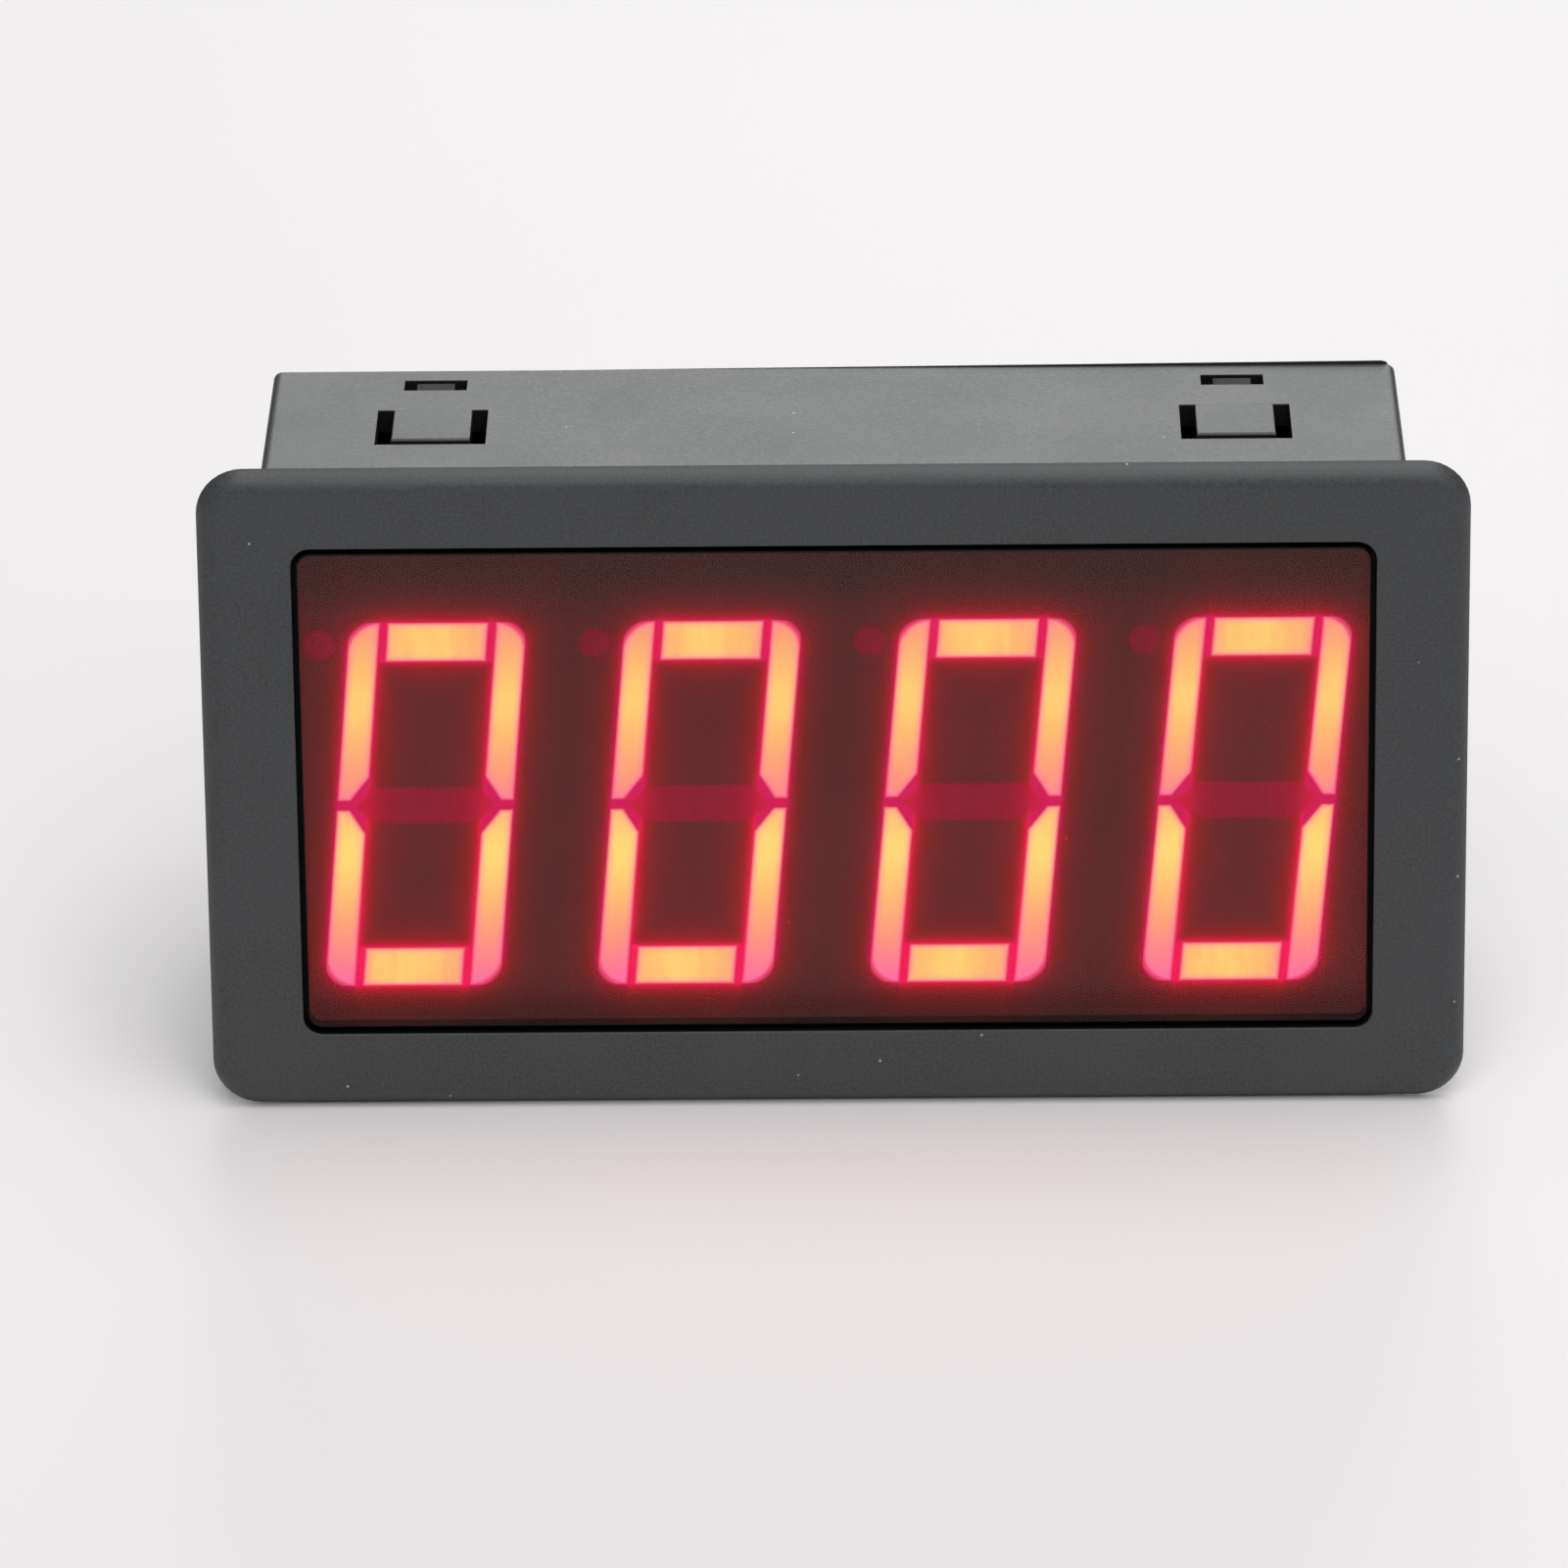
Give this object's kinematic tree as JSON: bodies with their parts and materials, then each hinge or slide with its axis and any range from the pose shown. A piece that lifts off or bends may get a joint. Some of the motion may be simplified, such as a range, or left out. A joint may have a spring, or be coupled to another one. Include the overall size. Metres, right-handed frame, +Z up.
{
  "type": "panel timer",
  "caption": "Panel-mounted enlarger timer with large red digits behind a tinted window, in a snap-in case with a plug-in terminal block.",
  "frame": {"origin": "centre of the panel plane, the rear face of the bezel", "axes": "+X right seen from the front, +Y back into the panel, +Z up"},
  "size_m": [0.0794, 0.0356, 0.043],
  "materials": {
    "case_plastic": "fine matte texture",
    "red_filter": "polished tinted acrylic",
    "display_plastic": "satin",
    "circuit_board": "satin solder mask",
    "led_chip": "polished",
    "tinned_metal": "bright tin",
    "chip_plastic": "moulded epoxy",
    "chip_resistor": "glazed",
    "ceramic": "fired ceramic",
    "relay_plastic": "moulded",
    "capacitor_can": "drawn can",
    "cover_plastic": "fine matte texture",
    "terminal_plastic": "moulded nylon",
    "contact_metal": "tinned brass",
    "screw_steel": "zinc plated",
    "button_plastic": "moulded",
    "lit_segment": "glowing orange-red diffuser",
    "unlit_segment": "dark diffuser"
  },
  "bodies": {
    "case": {"housing": "case_plastic", "filter_window": "red_filter", "display_shell": "display_plastic", "display_board": "circuit_board", "led_chips": "led_chip", "digit_1_segments": "lit_segment", "digit_2_segments": "lit_segment", "digit_3_segments": "lit_segment", "digit_4_segments": "lit_segment", "digit_1_blanks": "unlit_segment", "digit_2_blanks": "unlit_segment", "digit_3_blanks": "unlit_segment", "digit_4_blanks": "unlit_segment", "display_pins": "tinned_metal", "main_board": "circuit_board", "microcontroller": "chip_plastic", "display_driver": "chip_plastic", "digit_transistors": "chip_plastic", "resistors": "chip_resistor", "ceramic_capacitors": "ceramic", "relay": "relay_plastic", "relay_diode": "chip_plastic", "regulator": "chip_plastic", "smoothing_capacitors": "capacitor_can", "crystal": "tinned_metal", "buzzer": "cover_plastic", "button_switches": "cover_plastic", "rear_cover": "cover_plastic", "terminal_header": "terminal_plastic", "header_pins": "tinned_metal"},
    "plug": {"terminal_plug": "terminal_plastic", "plug_contacts": "contact_metal"},
    "screw_1": {"terminal_screw_1": "screw_steel"},
    "cage_1": {"clamp_cage_1": "contact_metal"},
    "screw_2": {"terminal_screw_2": "screw_steel"},
    "cage_2": {"clamp_cage_2": "contact_metal"},
    "screw_3": {"terminal_screw_3": "screw_steel"},
    "cage_3": {"clamp_cage_3": "contact_metal"},
    "screw_4": {"terminal_screw_4": "screw_steel"},
    "cage_4": {"clamp_cage_4": "contact_metal"},
    "screw_5": {"terminal_screw_5": "screw_steel"},
    "cage_5": {"clamp_cage_5": "contact_metal"},
    "set_button": {"button_set": "button_plastic"},
    "up_button": {"button_up": "button_plastic"},
    "down_button": {"button_down": "button_plastic"},
    "top_left_clip": {"clip_top_left": "case_plastic"},
    "top_right_clip": {"clip_top_right": "case_plastic"},
    "bottom_left_clip": {"clip_bottom_left": "case_plastic"},
    "bottom_right_clip": {"clip_bottom_right": "case_plastic"}
  },
  "joints": [
    {"name": "plug_pull", "type": "slide", "parent": "case", "child": "plug", "axis": [0, 1, 0], "range_m": [0, 0.01]},
    {"name": "screw_1_turn", "type": "hinge", "parent": "plug", "child": "screw_1", "pos_m": [0.00384, 0.0292, -0.002], "axis": [0, 0, 1], "range_deg": [-1441, 0]},
    {"name": "cage_1_lift", "type": "slide", "parent": "plug", "child": "cage_1", "axis": [0, 0, 1], "range_m": [0, 0.002]},
    {"name": "screw_2_turn", "type": "hinge", "parent": "plug", "child": "screw_2", "pos_m": [0.00892, 0.0292, -0.002], "axis": [0, 0, 1], "range_deg": [-1441, 0]},
    {"name": "cage_2_lift", "type": "slide", "parent": "plug", "child": "cage_2", "axis": [0, 0, 1], "range_m": [0, 0.002]},
    {"name": "screw_3_turn", "type": "hinge", "parent": "plug", "child": "screw_3", "pos_m": [0.014, 0.0292, -0.002], "axis": [0, 0, 1], "range_deg": [-1441, 0]},
    {"name": "cage_3_lift", "type": "slide", "parent": "plug", "child": "cage_3", "axis": [0, 0, 1], "range_m": [0, 0.002]},
    {"name": "screw_4_turn", "type": "hinge", "parent": "plug", "child": "screw_4", "pos_m": [0.01908, 0.0292, -0.002], "axis": [0, 0, 1], "range_deg": [-1441, 0]},
    {"name": "cage_4_lift", "type": "slide", "parent": "plug", "child": "cage_4", "axis": [0, 0, 1], "range_m": [0, 0.002]},
    {"name": "screw_5_turn", "type": "hinge", "parent": "plug", "child": "screw_5", "pos_m": [0.02416, 0.0292, -0.002], "axis": [0, 0, 1], "range_deg": [-1441, 0]},
    {"name": "cage_5_lift", "type": "slide", "parent": "plug", "child": "cage_5", "axis": [0, 0, 1], "range_m": [0, 0.002]},
    {"name": "set_press", "type": "slide", "parent": "case", "child": "set_button", "axis": [0, -1, 0], "range_m": [0, 0.00025], "stiffness_N_per_m": 4000, "springref_m": -0.0001},
    {"name": "up_press", "type": "slide", "parent": "case", "child": "up_button", "axis": [0, -1, 0], "range_m": [0, 0.00025], "stiffness_N_per_m": 4000, "springref_m": -0.0001},
    {"name": "down_press", "type": "slide", "parent": "case", "child": "down_button", "axis": [0, -1, 0], "range_m": [0, 0.00025], "stiffness_N_per_m": 4000, "springref_m": -0.0001},
    {"name": "top_left_clip_bend", "type": "hinge", "parent": "case", "child": "top_left_clip", "pos_m": [-0.0254, 0.01585, 0.01875], "axis": [1, 0, 0], "range_deg": [0, 6], "stiffness_Nm_per_rad": 0.1},
    {"name": "top_right_clip_bend", "type": "hinge", "parent": "case", "child": "top_right_clip", "pos_m": [0.0254, 0.01585, 0.01875], "axis": [1, 0, 0], "range_deg": [0, 6], "stiffness_Nm_per_rad": 0.1},
    {"name": "bottom_left_clip_bend", "type": "hinge", "parent": "case", "child": "bottom_left_clip", "pos_m": [-0.0254, 0.01585, -0.01875], "axis": [-1, 0, 0], "range_deg": [0, 6], "stiffness_Nm_per_rad": 0.1},
    {"name": "bottom_right_clip_bend", "type": "hinge", "parent": "case", "child": "bottom_right_clip", "pos_m": [0.0254, 0.01585, -0.01875], "axis": [-1, 0, 0], "range_deg": [0, 6], "stiffness_Nm_per_rad": 0.1}
  ],
  "couplings": [
    {"joint": "screw_1_turn", "follows": "cage_1_lift", "rad_per_m": -12566},
    {"joint": "screw_2_turn", "follows": "cage_2_lift", "rad_per_m": -12566},
    {"joint": "screw_3_turn", "follows": "cage_3_lift", "rad_per_m": -12566},
    {"joint": "screw_4_turn", "follows": "cage_4_lift", "rad_per_m": -12566},
    {"joint": "screw_5_turn", "follows": "cage_5_lift", "rad_per_m": -12566}
  ]
}
